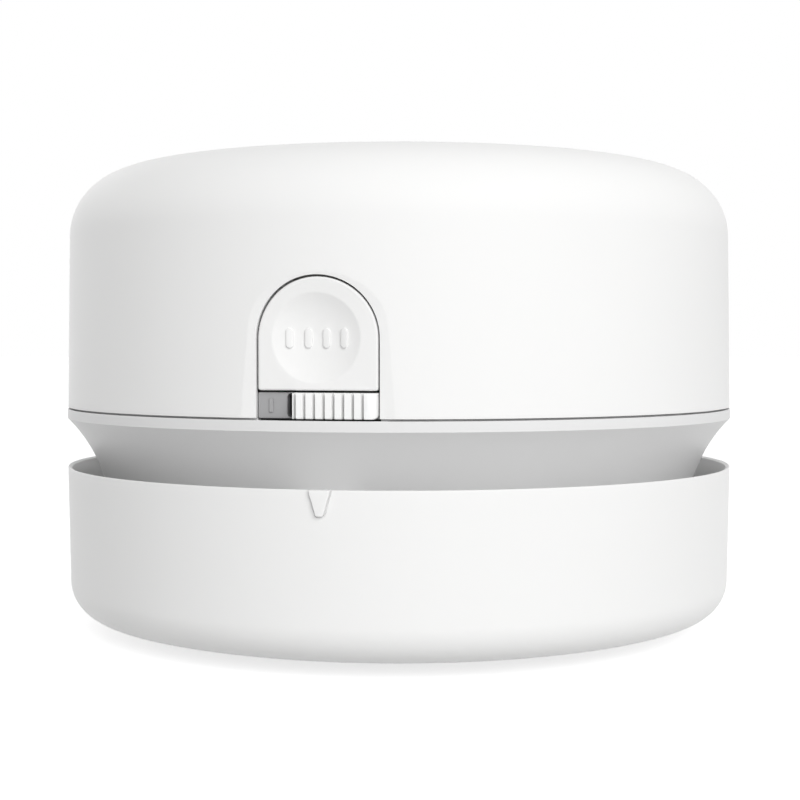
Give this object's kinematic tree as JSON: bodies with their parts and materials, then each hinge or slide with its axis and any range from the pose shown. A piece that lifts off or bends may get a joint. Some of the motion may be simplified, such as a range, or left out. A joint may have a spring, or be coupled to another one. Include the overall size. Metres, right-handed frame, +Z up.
{
  "type": "desktop mini vacuum cleaner",
  "caption": "Round desktop mini vacuum cleaner: domed head with fan, push button and slide switch, lifting off an open-topped dust cup.",
  "frame": {"origin": "centre of the footprint on the desk, under the middle of the suction inlet", "axes": "+Z up along the axis of the round body, -Y towards the front with the button and switch, +X to the right seen from the front"},
  "size_m": [0.0824, 0.0824, 0.0569],
  "materials": {
    "white_plastic": "satin moulded plastic",
    "shade_plastic": "satin moulded plastic",
    "label_grey": "fine matt grey plastic",
    "dark_plastic": "satin black plastic",
    "inner_plastic": "plain moulded plastic",
    "steel": "plated steel",
    "magnet_grey": "sintered magnet",
    "copper": "enamelled copper windings on steel",
    "brass": "bright brass",
    "carbon": "pressed carbon",
    "soft_rubber": "matt silicone",
    "foot_rubber": "matt soft pad",
    "felt": "white fibre felt",
    "mesh": "fine woven mesh",
    "tuft": "short nylon bristle",
    "board_green": "printed circuit board",
    "chip_black": "moulded chip bodies",
    "cell_wrap": "shrink-wrapped cell",
    "lead_red": "insulated wire",
    "lead_black": "insulated wire"
  },
  "bodies": {
    "bowl": {"dust_cup": "white_plastic", "glide_feet": "foot_rubber", "brush_ring": "inner_plastic", "bristles": "tuft"},
    "head": {"head_base": "shade_plastic", "seal_ring": "soft_rubber", "motor_can": "steel", "motor_end_bell": "dark_plastic", "motor_bushes": "brass", "motor_magnets": "magnet_grey", "motor_terminals": "brass", "motor_brushes": "carbon", "motor_plate": "inner_plastic", "top_cover": "white_plastic", "latch_bracket": "inner_plastic", "bracket_screws": "steel", "button_spring": "steel", "indicator_plate": "label_grey", "slide_switch_body": "dark_plastic", "switch_board": "board_green", "battery_cell": "cell_wrap", "battery_cradle": "inner_plastic", "battery_tabs": "steel", "control_board": "board_green", "board_screws": "steel", "board_chips": "chip_black", "charge_socket": "steel", "motor_leads": "lead_red", "battery_leads": "lead_black", "switch_leads": "lead_red", "cover_screws": "steel", "plate_screws": "steel", "motor_screws": "steel"},
    "button": {"push_button": "white_plastic", "latch_hook": "inner_plastic"},
    "switch": {"switch_knob": "white_plastic", "slide_switch_lever": "dark_plastic"},
    "rotor": {"impeller": "inner_plastic", "motor_shaft": "steel", "armature": "copper", "commutator": "brass"},
    "filter": {"filter_frame": "inner_plastic", "filter_mesh": "mesh", "filter_pad": "felt"}
  },
  "joints": [
    {"name": "head_lift", "type": "slide", "parent": "bowl", "child": "head", "axis": [0, 0, 1], "range_m": [0, 0.045], "deforming": ["latch_hook"]},
    {"name": "button_press", "type": "slide", "parent": "head", "child": "button", "axis": [0, 1, 0], "range_m": [0, 0.0022], "stiffness_N_per_m": 300, "springref_m": -0.001, "deforming": ["button_spring"]},
    {"name": "switch_slide", "type": "slide", "parent": "head", "child": "switch", "axis": [-1, 0, 0], "range_m": [0, 0.0034]},
    {"name": "fan_spin", "type": "hinge", "parent": "head", "child": "rotor", "pos_m": [0, 0, 0.018], "axis": [0, 0, 1], "continuous": true},
    {"name": "filter_twist", "type": "hinge", "parent": "head", "child": "filter", "pos_m": [0, 0, 0.0125], "axis": [0, 0, 1], "range_deg": [0, 28]}
  ]
}
